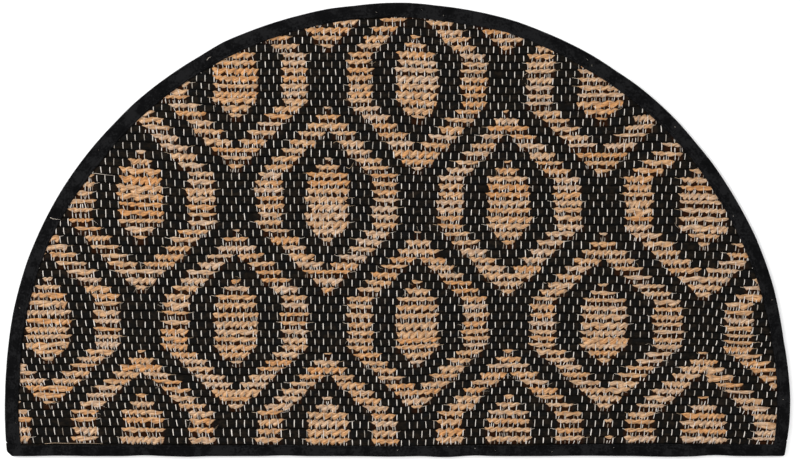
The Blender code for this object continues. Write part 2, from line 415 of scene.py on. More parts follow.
def ragMaterial():
    stops = {"brown": (0.36, (0.0108, 0.008, 0.0057)), "black": (0.52, (0.004, 0.0036, 0.003)),
             "blue": (0.7, (0.0064, 0.0063, 0.0064))}
    # near the jute the rag turns ruddy: partly jute dust, partly painted light reflected from the jute
    juteDustAndReflectedLight = (0.0175, 0.0056, 0.0018)
    material, tree, shader = newCloth("black cotton rag", 0.95, 0.035)
    cover = attribute(tree)  # how far jute covers the rag
    place = placeOn(tree, "Object")
    dye = stretchedNoise(tree, place, (90, 160, 60), 1.6)
    # where jute covers the rag its colour is mixed toward the jute dust and painted reflected light
    paint(tree, shader, mixColours(tree, cover, colourRamp(tree, dye, stops), juteDustAndReflectedLight))
    creases = stretchedNoise(tree, place, (260, 900, 500), 1.0, 4.0)
    addBump(tree, shader, creases, 0.8, 0.0007)
    return material


def juteMaterial():
    stops = {
        "orange": (0.06, (0.618, 0.303, 0.117)),
        "golden": (0.27, (0.609, 0.351, 0.174)),
        "tan": (0.42, (0.609, 0.378, 0.21)),
        "straw": (0.55, (0.611, 0.399, 0.235)),
        "sand": (0.74, (0.609, 0.421, 0.276)),
        "pale": (1.05, (0.612, 0.452, 0.329)),
    }
    shade = (0.15, 0.06, 0.02)
    material, tree, shader = newCloth("natural jute yarn", 0.8, 0.18)
    tone = attribute(tree)
    along = placeOn(tree, "UV")
    strands = stretchedNoise(tree, along, (150, 4.4, 1), 1.0, 2.0, 0.5)
    fibres = stretchedNoise(tree, along, (260, 17, 1), 1.0, 3.0, 0.7)
    hue = scaledSum(tree, strands, 1.1, tone)
    hue = addNode(tree, "ShaderNodeMath", {"operation": "SUBTRACT"}, i0=hue, i1=0.55).outputs[0]
    plain = colourRamp(tree, hue, stops)
    dark = spread(tree, fibres, 0.52, 0.36, 0.75)
    streaks = stretchedNoise(tree, along, (110, 8, 1), 1.0, 2.0, 0.6)
    dimmed = mixColours(tree, spread(tree, streaks, 0.6, 0.38, 0.58), plain, shade)
    paint(tree, shader, mixColours(tree, dark, dimmed, shade))
    addBump(tree, shader, fibres, 0.9, 0.0006)
    return material


def warpMaterial():
    stops = {"worn": (0.2, (0.2, 0.155, 0.115)), "grey": (0.6, (0.36, 0.325, 0.285)),
             "white": (1.1, (0.66, 0.61, 0.56))}
    material, tree, shader = newCloth("pale cotton warp", 0.85, 0.2)
    tone = attribute(tree)
    fibres = stretchedNoise(tree, placeOn(tree, "UV"), (500, 6, 1), 1.0)
    paint(tree, shader, colourRamp(tree, scaledSum(tree, fibres, 0.5, tone), stops))
    addBump(tree, shader, fibres, 0.5, 0.0003)
    return material


def tapeMaterial():
    stops = {"dark": (0.66, (0.0017, 0.0017, 0.0019)), "mid": (0.94, (0.0032, 0.0032, 0.0035)),
             "worn": (1.04, (0.0085, 0.0085, 0.009))}
    material, tree, shader = newCloth("black cotton tape", 0.85, 0.03)
    place = placeOn(tree, "Object")
    wear = stretchedNoise(tree, place, (1, 1, 1), 75.0, 4.0)
    pile = stretchedNoise(tree, place, (1, 1, 1), 520.0, 3.0, 0.7)
    paint(tree, shader, colourRamp(tree, scaledSum(tree, pile, 0.9, wear), stops))
    threads = [addNode(tree, "ShaderNodeTexWave", {"bands_direction": direction}, Vector=place, Scale=620.0,
                       Distortion=0.6).outputs["Fac"] for direction in ("X", "Y")]
    crossed = addNode(tree, "ShaderNodeMath", {"operation": "MULTIPLY"}, i0=threads[0], i1=threads[1]).outputs[0]
    addBump(tree, shader, scaledSum(tree, crossed, 0.3, pile), 0.55, 0.0006)
    return material


def threadMaterial():
    stops = {"dark": (0.35, (0.0025, 0.0025, 0.003)), "lit": (0.65, (0.009, 0.009, 0.0095))}
    material, tree, shader = newCloth("black sewing thread", 0.6, 0.12)
    twist = stretchedNoise(tree, placeOn(tree, "UV"), (900, 3, 1), 1.0)
    paint(tree, shader, colourRamp(tree, twist, stops))
    addBump(tree, shader, twist, 0.4, 0.0001)
    return material


def fibreMaterial():
    stops = {"brown": (0.2, (0.16, 0.1, 0.055)), "straw": (0.6, (0.5, 0.36, 0.23)),
             "pale": (1.1, (0.72, 0.64, 0.55))}
    material, tree, shader = newCloth("loose jute fibre", 0.75, 0.2)
    tone = attribute(tree)
    patches = stretchedNoise(tree, placeOn(tree, "Object"), (1, 1, 1), 400.0)
    paint(tree, shader, colourRamp(tree, scaledSum(tree, patches, 0.3, tone), stops))
    return material


def groundMaterial():
    stops = {"shade": (0.35, (0.22, 0.12, 0.055)), "jute": (0.6, (0.5, 0.31, 0.165))}
    rag = (0.004, 0.0036, 0.003)
    material, tree, shader = newCloth("ground of the weave", 0.92, 0.08)
    back = attribute(tree, "backJute")
    strands = stretchedNoise(tree, placeOn(tree, "Object"), (240, 700, 300), 1.0, 3.0)
    jute = colourRamp(tree, strands, stops)
    paint(tree, shader, mixColours(tree, spread(tree, back, 0.35, 0.6), rag, jute))
    addBump(tree, shader, strands, 0.6, 0.0005)
    return material


allTicks = np.arange(-8, 92)  # from edge to edge, with some to spare


def tickOffset(row):  # the ticks of every other row stand half a step to the side
    return 0.0 if (row + weave["phase"]) % 2 == 0 else 0.5


def tubeAlongRow(x, y, z, halfY, halfZ):
    none = np.zeros_like(x)
    return [np.stack(three, axis=-1)[None] for three in ((x, y, z), (none, halfY, none), (none, none, halfZ))]


# Black rag weft: one squashed, creased tube for each row, pinched where a warp crosses it
def ragWeft(name, rows, material):
    rag = {
        "sides": 8, "square": 0.62,
        "stations": [0.0, 0.14, 0.5, 0.86],  # in ticks after a warp
        "pinched": [1.0, 0.25, 0.0, 0.25],
        "halfWide": 0.00374,  # where the rows lie at the usual pitch
        "pitch": 0.0072, "top": 0.006, "bottom": 0.0004, "pinch": 0.0008, "lumpHigh": 0.00014, "lumpAside": 0.00008,
        "underJute": 0.0046,  # how high the rag stands below a float
        "juteAside": 0.0012, "joinReach": 0.0045, "joinHigh": 0.0006, "overhang": 0.0032, "endSize": 0.4,
    }
    bundle = newBundle()
    for row in rows:
        ticks = (allTicks[:, None] + tickOffset(row) + np.array(rag["stations"])).ravel()
        pinched = np.tile(rag["pinched"], len(allTicks))
        x = warpX(ticks, row)
        y = rowY(row + 0.5, x)
        keep = visibleInset(x, y) > -rag["overhang"]
        if keep.sum() < 3:
            continue
        x, y, pinched = x[keep], y[keep], pinched[keep]
        cover = juteCover(row, x)
        pitch = rowY(row, x) - rowY(row + 1, x)
        lumps = np.repeat(rng.normal(0, 1, len(x) // 4 + 2), 4)[:len(x)]
        join = sum(np.exp(-((x - jx) ** 2 + (y - jy) ** 2) / rag["joinReach"] ** 2) for jx, jy in ragJoins)
        join = np.clip(join, 0, 1) * (1 - cover)
        pinched = pinched * (1 - 0.9 * join)
        half = rag["halfWide"] * pitch / rag["pitch"] * (1 - 0.1 * pinched) * (1 - 0.3 * cover)
        top = rag["top"] - rag["pinch"] * pinched + rag["lumpHigh"] * lumps + rag["joinHigh"] * join
        top = top * (1 - cover) + rag["underJute"] * cover
        middleY = y - rag["juteAside"] * cover + rag["lumpAside"] * lumps
        centres, across, up = tubeAlongRow(x, middleY, (top + rag["bottom"]) / 2, half * (1 + 0.12 * join),
                                           (top - rag["bottom"]) / 2)
        across[:, [0, -1]] *= rag["endSize"]
        up[:, [0, -1]] *= rag["endSize"]
        # the tone attribute carries the jute cover, which the rag's colour turns into jute dust and painted reflected
        # light
        addTubes(bundle, centres, across, up, rag["sides"], x[None], cover[None], rag["square"])
    return joinedPiece(name, bundle, material)


# Jute floats: two plies twisted round each other, fat in the middle and drawn up to a tail at each end
def juteFloats(name, rows, material):
    jute = {
        "sides": 6, "endGap": 0.0007, "overhang": 0.0035, "radius": 0.00304, "flat": 0.74,
        "tallest": 0.0026,  # half the height of the fattest yarn, so none goes below the cloth
        "tail": 0.15,  # how thick the very end is, as a share
        "tailDrop": 0.002,
        "twist": 0.014,  # one full turn of the two plies
        "line": 0.285,  # place of the float in its row
        "top": 0.0062, "ply": 0.61, "plyOut": 0.43, "slub": 0.09, "slubLimits": (0.75, 1.3),
        "pinch": 0.13,  # where a binder crosses
        "beads": 110,  # lengths of yarn from warp to warp, each with a tone of its own
        "beadTone": 0.35,
    }
    bundle = newBundle()
    length = 0.0
    for row in rows:
        ticks = np.arange(-10, 92, 0.25) + tickOffset(row)
        tickX = warpX(ticks, row)
        for f in floatsOf[row]:
            between = (tickX > f["x"][0] + jute["endGap"]) & (tickX < f["x"][1] - jute["endGap"])
            x = np.concatenate([f["x"][:1], tickX[between], f["x"][1:]])
            pinch = np.concatenate([[0], (ticks[between] % 1.0 == ticks[0] % 1.0), [0]])
            bead = np.concatenate([[-1], np.floor(ticks[between] - ticks[0] % 1.0 + 0.01), [200]]).astype(int)
            y = rowY(row + jute["line"], x)
            inside = visibleInset(x, y) > -jute["overhang"]
            if inside.sum() < 3:
                continue
            x, y, pinch, bead = x[inside], y[inside], pinch[inside], bead[inside]
            length += x[-1] - x[0]
            rise = eased((x - f["x"][0]) / f["tails"][0])
            body = jute["tail"] + (1 - jute["tail"]) * rise * eased((f["x"][1] - x) / f["tails"][1])
            knots = 3 + len(x) // 4
            slubs = np.interp(x, np.linspace(x[0], x[-1], knots), 1 + rng.normal(0, jute["slub"], knots))
            full = jute["radius"] * f["fat"]
            radius = full * body * np.clip(slubs, *jute["slubLimits"]) * (1 - jute["pinch"] * pinch)
            centreY = y + (jute["radius"] - full) * 0.8 + (full - radius) * 0.55 - np.interp(x, f["x"], f["sag"])
            tall = np.minimum(radius * jute["flat"], jute["tallest"])
            centreZ = jute["top"] - tall * 1.05 - (1 - body) ** 3 * jute["tailDrop"]
            turn = f["phase"] + 2 * math.pi * (x / jute["twist"]) * (1 + 0.03 * np.sin(x * 90 + f["phase"]))
            for ply in (0, math.pi):
                plyY = centreY + radius * jute["plyOut"] * np.sin(turn + ply)
                plyZ = centreZ + tall * jute["plyOut"] * np.cos(turn + ply)
                beadTones = rng.uniform(0, 1, jute["beads"])[bead % jute["beads"]]
                hue = (1 - jute["beadTone"]) * f["tone"] + jute["beadTone"] * beadTones
                tube = tubeAlongRow(x, plyY, plyZ, radius * jute["ply"], tall * jute["ply"])
                addTubes(bundle, *tube, jute["sides"], x[None] + rng.uniform(0, 9), hue[None])
    print(name, "lays", round(length, 2), "m of jute")
    return joinedPiece(name, bundle, material)


def threadsAlongY(bundle, x, y, z, look):
    # arrays of (threads, stations), from the far side of the row to the near one
    halfX = look["halfWidths"] * (1 + rng.normal(0, look["uneven"], len(x)))[:, None]
    tone = np.clip(rng.normal(*look["tone"], len(x)), 0.0, 1.0)
    centres = np.stack([x, y, z], axis=-1)
    across = np.zeros_like(centres)
    across[..., 2] = look["halfThick"]
    up = np.zeros_like(centres)
    up[..., 0] = -halfX  # the threads run toward -Y
    addTubes(bundle, centres, across, up, look["sides"], -y + rng.uniform(0, 9, (len(x), 1)), tone)


def coverAt(rows, x):
    cover = np.zeros_like(x)
    for row in wovenRows:
        on = rows == row
        cover[on] = juteCover(row, x[on])
    return cover


def warpLean(x, rows):  # the warps fan out a little toward the straight edge
    before, after = (fieldAt(leanX, warpLeans, x, rows + step) for step in (-0.7, 0.7))
    return -0.0028 * x * (0.35 + 0.65 * rows / weave["rows"]) + 0.0007 * (after - before)


def rowTicks():  # row, tick, place and jute cover of every crossing of a row and a warp
    ticks = np.concatenate([allTicks + tickOffset(row) for row in wovenRows])
    rows = np.repeat(list(wovenRows), len(allTicks))
    x = warpX(ticks, rows)
    y = rowY(rows + 0.5, x)
    seen = visibleInset(x, y) > -0.0042
    rows, ticks, x, y = rows[seen], ticks[seen], x[seen], y[seen]
    return rows, ticks, x, y, coverAt(rows, x)


boundFrom = 0.45  # cover at which a warp binds the jute and no longer crosses bare rag


# Pale warp over black rag: the ticks
def warpTicks(name, material):
    tick = {
        "halfWidths": 0.00045 * np.array([0.7, 0.95, 1.0, 0.95, 0.7]), "uneven": 0.17, "halfThick": 0.00042,
        "heights": np.array([0.0034, 0.0056, 0.006, 0.0056, 0.0034]), "sides": 4, "tone": (0.6, 0.21),
        "stops": np.array([0.0, 0.13, 0.5, 0.87, 1.0]), "bow": np.array([0, 0.5, 1, 0.5, 0]),
        "fromJoin": 0.0046, "missing": 0.008,
    }
    rows, _, x, y, cover = rowTicks()
    near = np.min([np.hypot(x - jx, y - jy) for jx, jy in ragJoins], axis=0)
    keep = (cover < boundFrom) & (near > tick["fromJoin"]) & (rng.uniform(0, 1, len(x)) > tick["missing"])
    rows, x = rows[keep], x[keep]
    count = len(x)
    start = 0.05 + rng.normal(0, 0.025, count)
    end = 0.91 + rng.normal(0, 0.03, count)
    at = rows[:, None] + start[:, None] + (end - start)[:, None] * tick["stops"]
    lean = rng.normal(0, 0.00012, count) + warpLean(x, rows) / 2
    bow = rng.normal(0, 0.00012, count)[:, None] * tick["bow"]
    threadX = x[:, None] + rng.normal(0, 0.00022, count)[:, None] + lean[:, None] * (tick["stops"] - 0.5) * 2 + bow
    threadZ = tick["heights"] + rng.normal(0, 0.00008, (count, 5))
    bundle = newBundle()
    threadsAlongY(bundle, threadX, rowY(at, threadX), threadZ, tick)
    return joinedPiece(name, bundle, material)


# Where jute floats, a thin binder crosses it at each tick and runs on down as a pale warp
def warpBinders(name, material):
    binder = {
        "halfWidths": np.array([0.00025, 0.00025, 0.00025 * 1.1, 0.00042, 0.00042, 0.00042, 0.00042 * 0.8]),
        "heights": np.array([0.004, 0.00615, 0.006, 0.0052, 0.0051, 0.0047, 0.0034]),
        "sunk": np.array([0, 1, 1, 0, 0, 0, 0]), "stops": np.array([0.02, 0.16, 0.44, 0.6, 0.8, 0.97, 1.05]),
        "uneven": 0.17, "halfThick": 0.0004, "sides": 4, "tone": (0.5, 0.26),
    }
    rows, _, x, _, cover = rowTicks()
    rows, x = rows[cover >= boundFrom], x[cover >= boundFrom]
    count = len(x)
    reach = 0.93 + 0.07 * coverAt(rows + 1, x)
    at = rows[:, None] + binder["stops"] * reach[:, None] + rng.normal(0, 0.01, (count, 7))
    lean = rng.normal(0, 0.00032, count) + warpLean(x, rows) / 2
    threadX = x[:, None] + rng.normal(0, 0.0003, count)[:, None] + lean[:, None] * (binder["stops"] - 0.5) * 2
    threadZ = binder["heights"] - rng.uniform(0, 0.00045, count)[:, None] * binder["sunk"]
    bundle = newBundle()
    threadsAlongY(bundle, threadX, rowY(at, threadX), threadZ, binder)
    return joinedPiece(name, bundle, material)


# More warps below each float, single, doubled or splayed in a V
def warpBelowJute(name, material):
    thread = {
        "halfWidths": 0.00038 * np.array([0.9, 1.0, 1.0, 0.8]), "uneven": 0.2, "halfThick": 0.0004,
        "heights": np.array([0.004, 0.005, 0.0048, 0.0034]), "sides": 4, "tone": (0.46, 0.28),
        "stops": np.array([0.5, 0.62, 0.95, 1.05]),
    }
    rows, ticks, *_ = rowTicks()
    kind = rng.uniform(0, 1, len(ticks))
    beside = [  # which of the ticks have it, how far aside in ticks and how it splays
        (kind < 0.82, 0.4, 0.0),
        (kind < 0.17, 0.62, -0.00035),
        (kind > 0.8, 0.15, -0.00045),
        ((kind > 0.46) & (kind < 0.66), 0.8, 0.0003),
    ]
    bundle = newBundle()
    for use, aside, splay in beside:
        x = warpX(ticks + aside + rng.normal(0, 0.1, len(ticks)), rows)
        use = use & (coverAt(rows, x) > 0.55) & (visibleInset(x, rowY(rows + 0.7, x)) > -0.0015)
        x, row = x[use], rows[use]
        count = len(x)
        lean = rng.normal(0, 0.00035, count) + splay + warpLean(x, row) / 2
        reach = 0.92 + 0.08 * coverAt(row + 1, x)
        at = row[:, None] + thread["stops"] * reach[:, None] + rng.normal(0, 0.015, (count, 4))
        threadX = x[:, None] + lean[:, None] * (thread["stops"] - 0.75) * 2.6
        threadZ = thread["heights"] + rng.normal(0, 0.0001, (count, 4))
        threadsAlongY(bundle, threadX, rowY(at, threadX), threadZ, thread)
    return joinedPiece(name, bundle, material)


strays = [  # threads lying on top: x, y and height of each point
    [(-0.056, 0.0775, 0.0062), (-0.0535, 0.079, 0.007), (-0.05, 0.078, 0.0072), (-0.0475, 0.0745, 0.0063)],
    [(-0.314, -0.1912, 0.005), (-0.305, -0.1904, 0.0058), (-0.296, -0.1907, 0.0059), (-0.28, -0.1906, 0.0058),
     (-0.262, -0.1912, 0.005)],
    [(-0.043, -0.0185, 0.0063), (-0.0405, -0.016, 0.007), (-0.038, -0.0175, 0.007),
     (-0.0395, -0.0205, 0.007), (-0.043, -0.02, 0.0066)],
    [(-0.2716, 0.0507, 0.0058), (-0.265, 0.05, 0.0066), (-0.259, 0.0492, 0.0068), (-0.252, 0.0484, 0.006)],
    [(-0.309, 0.0112, 0.0061), (-0.3065, 0.0098, 0.0067), (-0.3035, 0.0095, 0.0069), (-0.3, 0.0092, 0.0063)],
    [(-0.0445, 0.056, 0.0062), (-0.042, 0.0545, 0.007), (-0.0395, 0.0565, 0.0068), (-0.038, 0.06, 0.0062)],
    [(-0.169, 0.1515, 0.0061), (-0.1675, 0.1535, 0.0066), (-0.1655, 0.1545, 0.0061)],
]


# Loose fibres: hairs raised from the jute, lint on the tape and the few long strays seen lying on top
def looseFibres(name, material):
    loose = {
        "sides": 3, "hairs": 620, "hairRadius": 0.00011, "hairLength": (0.003, 0.0075), "tipShare": 0.34,
        "tipRadius": 0.00022, "tipHeights": [0.0052, 0.0059, 0.0056], "lint": 18, "lintLength": (0.0006, 0.0018),
        "strayRadius": 0.00022,
    }
    bundle = newBundle()

    def addHair(points, radius, tone):
        points = np.array(points)
        ahead = np.gradient(points, axis=0)
        ahead /= np.linalg.norm(ahead, axis=1)[:, None]
        side = np.cross([0, 0, 1], ahead)
        side /= np.linalg.norm(side, axis=1)[:, None]
        over = np.cross(ahead, side)
        taper = np.linspace(1, 0.5, len(points))[:, None] * radius
        run = np.linspace(0, 0.01, len(points))
        addTubes(bundle, points[None], (side * taper)[None], (over * taper)[None], loose["sides"], run[None], tone)

    for stray in strays:
        addHair(stray, loose["strayRadius"], rng.uniform(0.3, 0.9, 1))
    allFloats = [(row, f) for row in range(weave["rows"]) for f in floatsOf[row]]
    for pick in rng.integers(0, len(allFloats), loose["hairs"]):
        row, f = allFloats[pick]
        x = rng.uniform(*f["x"])
        y = float(rowY(row + rng.uniform(0.1, 0.5), x))
        if visibleInset(x, y) < 0.005:
            continue
        heading = rng.normal(0, 0.9) + (math.pi if rng.uniform() < 0.5 else 0)
        length = rng.uniform(*loose["hairLength"])
        turn = rng.normal(0, 0.8)
        hair = []
        for t in (0.0, 0.4, 0.75, 1.0):
            bent = heading + turn * t
            hair.append((x + math.cos(bent) * length * t, y + math.sin(bent) * length * t,
                         0.0058 + 0.001 * math.sin(math.pi * min(t + 0.15, 1.0))))
        addHair(hair, loose["hairRadius"], rng.uniform(0.25, 1.0, 1))
    for row, f in allFloats:
        for end, way in ((0, -1), (1, 1)):
            reach = rng.uniform(0.0012, 0.005)
            if rng.uniform() > loose["tipShare"] or f["x"][1] - f["x"][0] < 0.008:
                continue
            x = f["x"][end] + way * np.array([-0.0012, 0.3 * reach, reach])
            y = rowY(row + rng.normal([0.16, 0.1, 0.02], 0.02), x)
            if visibleInset(x, y).min() > 0.002:
                points = np.stack([x, y, loose["tipHeights"]], axis=-1)
                addHair(points, loose["tipRadius"], rng.uniform(0.3, 1.0, 1))
    for lint in range(loose["lint"]):
        angle = rng.uniform(math.radians(-5), math.radians(185))
        reach = mat["radius"] - rng.uniform(0.003, 0.01)
        x, y = reach * math.cos(angle), circleY + reach * math.sin(angle)
        if lint % 3 == 0:  # one in three lies on the straight tape
            x, y = rng.uniform(-0.32, 0.32), circleY - mat["drop"] + rng.uniform(0.003, 0.009)
        heading = rng.uniform(0, math.pi)
        length = rng.uniform(*loose["lintLength"])
        step = np.array([math.cos(heading), math.sin(heading)]) * length
        middle = np.array([x, y])
        points = [(*(middle - step / 2), 0.0057), (*middle, 0.006), (*(middle + step / 2), 0.0057)]
        addHair(points, loose["hairRadius"], rng.uniform(0.5, 1.1, 1))
    return joinedPiece(name, bundle, material, pressed=False)


def pointsOf(mesh):
    flat = np.empty(len(mesh.vertices) * 3)
    mesh.vertices.foreach_get("co", flat)
    return flat.reshape(-1, 3)


def newGrid(name, across, along, size):
    bpy.ops.object.select_all(action="DESELECT")
    bpy.ops.mesh.primitive_grid_add(x_subdivisions=across, y_subdivisions=along, size=size)
    piece = bpy.context.object
    piece.name = piece.data.name = name
    return piece, pointsOf(piece.data)


def faceOutward():
    bpy.ops.mesh.select_all(action="SELECT")
    bpy.ops.mesh.normals_make_consistent(inside=False)
    bpy.ops.object.mode_set(mode="OBJECT")


# The cloth itself: a thin sheet through the middle of the weave, with the back's rows and pattern below
def groundCloth(name, material):
    cloth = {"across": 70, "along": 212, "top": 0.0034, "back": 0.0011, "lowest": 0.0002, "overhang": 0.0085}
    piece, flat = newGrid(name, cloth["across"], cloth["along"], 2)
    radius = innerRadius + cloth["overhang"]
    nearEdge = innerStraight - cloth["overhang"]
    share = (1 - flat[:, 1]) / 2
    top = circleY + radius * 0.9995
    y = top + (nearEdge - top) * share
    x = flat[:, 0] * np.sqrt(np.maximum(radius ** 2 - (y - circleY) ** 2, 0))
    guess = (firstGroove - y) / (firstGroove - innerStraight) * weave["rows"]
    for _ in range(6):
        guess = guess + (rowY(guess, x) - y) / (firstGroove - innerStraight) * weave["rows"]
    row = np.clip(np.floor(guess), 0, weave["rows"] - 1).astype(int)
    within = guess - np.floor(guess)
    cover = np.zeros(len(x))
    for r in range(weave["rows"]):
        on = row == r
        cover[on] = juteCover(r, x[on])
    rib = np.sin(np.clip(within, 0, 1) * math.pi) ** 0.6
    points = np.stack([x, y, np.full_like(x, cloth["top"])], axis=-1)
    piece.data.vertices.foreach_set("co", points.ravel())
    bpy.ops.object.mode_set(mode="EDIT")
    bpy.ops.mesh.select_all(action="SELECT")
    bpy.ops.mesh.extrude_region_move(TRANSFORM_OT_translate={"value": (0, 0, cloth["back"] - cloth["top"])})
    faceOutward()
    after = pointsOf(piece.data)
    backJute = np.zeros(len(after))
    order = {(round(px, 6), round(py, 6)): i for i, (px, py) in enumerate(zip(x.tolist(), y.tolist()))}
    for i, (px, py, pz) in enumerate(after.tolist()):
        if pz < (cloth["top"] + cloth["back"]) / 2:
            source = order.get((round(px, 6), round(py, 6)))
            if source is not None:
                backJute[i] = (1 - cover[source]) * rib[source]
                after[i, 2] -= (cloth["back"] - cloth["lowest"]) * rib[source]
    piece.data.vertices.foreach_set("co", pressedUnderTape(after).ravel())
    back = piece.data.attributes.new("backJute", "FLOAT", "POINT")
    back.data.foreach_set("value", backJute.astype(np.float32))
    piece.data.shade_smooth()
    piece.data.materials.append(material)
    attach(piece, "root")
    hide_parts("woven_field")
    sayTriangles(piece)
    return piece


# Uneven outer edges of the tape: outward mm every 4 degrees round the arc, and place, half width and height in
# metres along the straight
arcDegrees = np.arange(-8, 189, 4)
arcEdge = [
    2.1, 3, 2.8, 1.5, 0.3, 0.6, 1.3, 1.3, 1.4, 0.8, 0.7, 0.8, 0.4, 1.1, 1.2, 1.1, 0.3, 0.8, 0.6, 0.5, 0.9, 0.6,
    0.4, 0.2, 0.9, 0.7, 0, 0.6, 0.3, 0.4, 0.7, 1.4, 0.2, 0.2, 0.4, 0.6, 0.1, 0.4, 0.6, 0.8, 0.8, 0.8, 1, 0.6, 0.4,
    -0.2, -0.4, -0.1, 0.8, 2,
]
straightBumps = [
    (-0.301, 0.03, -0.0004), (-0.225, 0.022, -0.0007), (-0.186, 0.022, 0.0006), (-0.1, 0.025, -0.0005),
    (-0.005, 0.03, 0.0005), (0.043, 0.022, 0.0009), (0.072, 0.018, -0.0005), (0.168, 0.04, -0.0003),
    (0.245, 0.04, 0.0007), (0.286, 0.022, -0.0008),
]


def bumpsAt(x):
    outward = np.zeros_like(x)
    for middle, halfWidth, height in straightBumps:
        t = np.clip(np.abs(x - middle) / halfWidth, 0, 1)
        outward += height * (0.5 + 0.5 * np.cos(math.pi * t))
    return outward


def softNoise(x, y, z):
    return np.array([noise.noise(Vector(p)) for p in zip(x.tolist(), y.tolist(), z.tolist())])


def onCircle(angle, reach):
    return np.stack([np.cos(angle) * reach, circleY + np.sin(angle) * reach], axis=-1)


def outerArc(angle):
    return onCircle(angle, mat["radius"] + 0.001 * np.interp(np.degrees(angle), arcDegrees, arcEdge))


def runAlong(line):  # the distance from the line's start to each of its points
    return np.concatenate([[0], np.cumsum(np.linalg.norm(np.diff(line, axis=0), axis=1))])


def wavy(travelled, y, z):
    return softNoise(travelled * 55, travelled * 0 + y, travelled * 0 + z) * 0.0004


laps = {"left": 0.012, "right": 0.0138}  # how far up the straight tape's ends reach, above the straight edge
cornerCuts = {"left": 0.0045, "right": 0.0012}


def arcRun(steps, tucked):  # the tape's outer and inner points at even steps, and the distance run
    outerEnds = [math.asin((laps[side] - mat["drop"]) / mat["radius"]) for side in ("right", "left")]
    innerEnd = math.asin((mat["straightTape"] - mat["drop"]) / innerRadius)
    under = tucked / mat["radius"]
    angle = np.linspace(outerEnds[0] - under, math.pi - outerEnds[1] + under, steps)
    innerAngle = np.linspace(innerEnd - under, math.pi - innerEnd + under, steps)
    travelled = (angle - angle[0]) * mat["radius"]
    inner = onCircle(innerAngle, innerReach(np.degrees(innerAngle)) + wavy(travelled, 0, 21))
    return outerArc(angle), inner, travelled


def straightRun(steps):
    bottom = circleY - mat["drop"]
    ends = {}
    for side in ("left", "right"):
        heights = np.linspace(laps[side], cornerCuts[side], 12)
        angle = np.arcsin((heights - mat["drop"]) / mat["radius"])
        ends[side] = outerArc(math.pi - angle if side == "left" else angle)
    x = np.linspace(ends["left"][-1, 0] + cornerCuts["left"], ends["right"][-1, 0] - cornerCuts["right"], 400)
    edge = np.stack([x, bottom - bumpsAt(x)], axis=-1)
    line = np.concatenate([ends["left"], edge, ends["right"][::-1]])
    run = runAlong(line)
    travelled = np.linspace(0, run[-1], steps)
    outer = np.stack([np.interp(travelled, run, line[:, 0]), np.interp(travelled, run, line[:, 1])], axis=-1)
    x, left, right = outer[:, 0], innerCornerX(188), innerCornerX(-8)
    beyond = np.clip(np.maximum((left - x) / (left - x.min()), (x - right) / (x.max() - right)), 0, 1)
    innerX = np.clip(x, left, right)
    rise = (outer[:, 1] - bottom) * 0.05 * (beyond > 0)
    inner = np.stack([innerX + np.sign(innerX) * beyond * 0.0005,
                      straightInner(innerX) - 0.0004 + wavy(travelled, 5, 33) + rise], axis=-1)
    return outer, inner, travelled


# The folded tape, with puckers, a stitched seam and the round tape's ends tucked under the straight one
tape = {
    "thick": 0.0009, "lowest": 0.0001,
    "along": 240.0,  # how close the puckers lie
    "across": 70.0, "depth": 0.0003, "swell": 0.00035, "underside": 0.25, "seamAt": 0.86, "seamWidth": 0.0008,
    "seamDepth": 0.0006,
    "tuckedIn": 0.003,  # length of the round tape's ends under the straight tape
    "tuckReach": 0.0012, "tuckSink": 0.42, "tuckIn": 0.0011,
}


def tapeSection(face):  # from the lower inner edge round the fold to the upper inner edge
    thick = tape["thick"]
    low, high = thick / 2, mat["tapeTop"] - thick / 2
    middle = (low + high) / 2
    points = [(face * part, low) for part in (1.0, 0.75, 0.5, 0.32)]
    for turn in np.linspace(-80, 80, 7):
        t = math.radians(turn)
        points.append((0.0018 * (1 - math.cos(t)) + thick / 2, middle + (high - low) / 2 * math.sin(t)))
    upper = (0.2, 0.27, 0.34, 0.41, 0.48, 0.55, 0.62, 0.69, 0.75, 0.8, 0.84, 0.88, 0.92, 0.96)
    points += [(face * part, high) for part in upper]
    points += [(face * 0.99, high - 0.0002), (face, high - 0.0007)]
    return np.array(points)


def foldedTape(name, run, face, seed, replaced, tucked, material):
    outer, inner, travelled = run
    section = tapeSection(face)
    stations, around = len(outer), len(section)
    piece, flat = newGrid(name, stations - 1, around - 1, 1)
    i = np.rint((flat[:, 0] + 0.5) * (stations - 1)).astype(int)
    j = np.rint((flat[:, 1] + 0.5) * (around - 1)).astype(int)
    width = np.linalg.norm(inner - outer, axis=1)
    heading = (inner - outer) / width[:, None]
    distance, z = section[j, 0], section[j, 1].copy()
    upper = z > mat["tapeTop"] * 0.6
    pucker = softNoise(travelled[i] * tape["along"], distance * tape["across"], distance * 0 + seed)
    slow = softNoise(travelled[i] * 22, distance * 30, distance * 0 + seed + 7)
    z += np.where(upper, 1.0, tape["underside"]) * (pucker * tape["depth"] + slow * tape["swell"])
    seam = np.exp(-((distance - face * tape["seamAt"]) / tape["seamWidth"]) ** 2)
    z -= np.where(upper, seam * tape["seamDepth"], 0)
    fromEnd = np.minimum(travelled, travelled[-1] - travelled)[i]
    tuck = eased(1 - (fromEnd - tucked) / tape["tuckReach"]) if tucked else np.zeros_like(z)
    z += (mat["tapeTop"] / 2 - z) * tape["tuckSink"] * tuck
    z = np.maximum(z, tape["thick"] / 2 + tape["lowest"])
    reach = distance * (width / face)[i] + tuck * tape["tuckIn"] * (1 - distance / face)
    points = np.column_stack([outer[i] + heading[i] * reach[:, None], z])
    piece.data.vertices.foreach_set("co", points.ravel())
    solidify = piece.modifiers.new("cloth thickness", "SOLIDIFY")
    solidify.thickness = tape["thick"]
    solidify.offset = 0.0
    bpy.ops.object.modifier_apply(modifier=solidify.name)
    bpy.ops.object.mode_set(mode="EDIT")
    faceOutward()
    piece.data.shade_smooth()
    piece.data.materials.append(material)
    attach(piece, "root")
    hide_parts(replaced)
    sayTriangles(piece)
    return piece


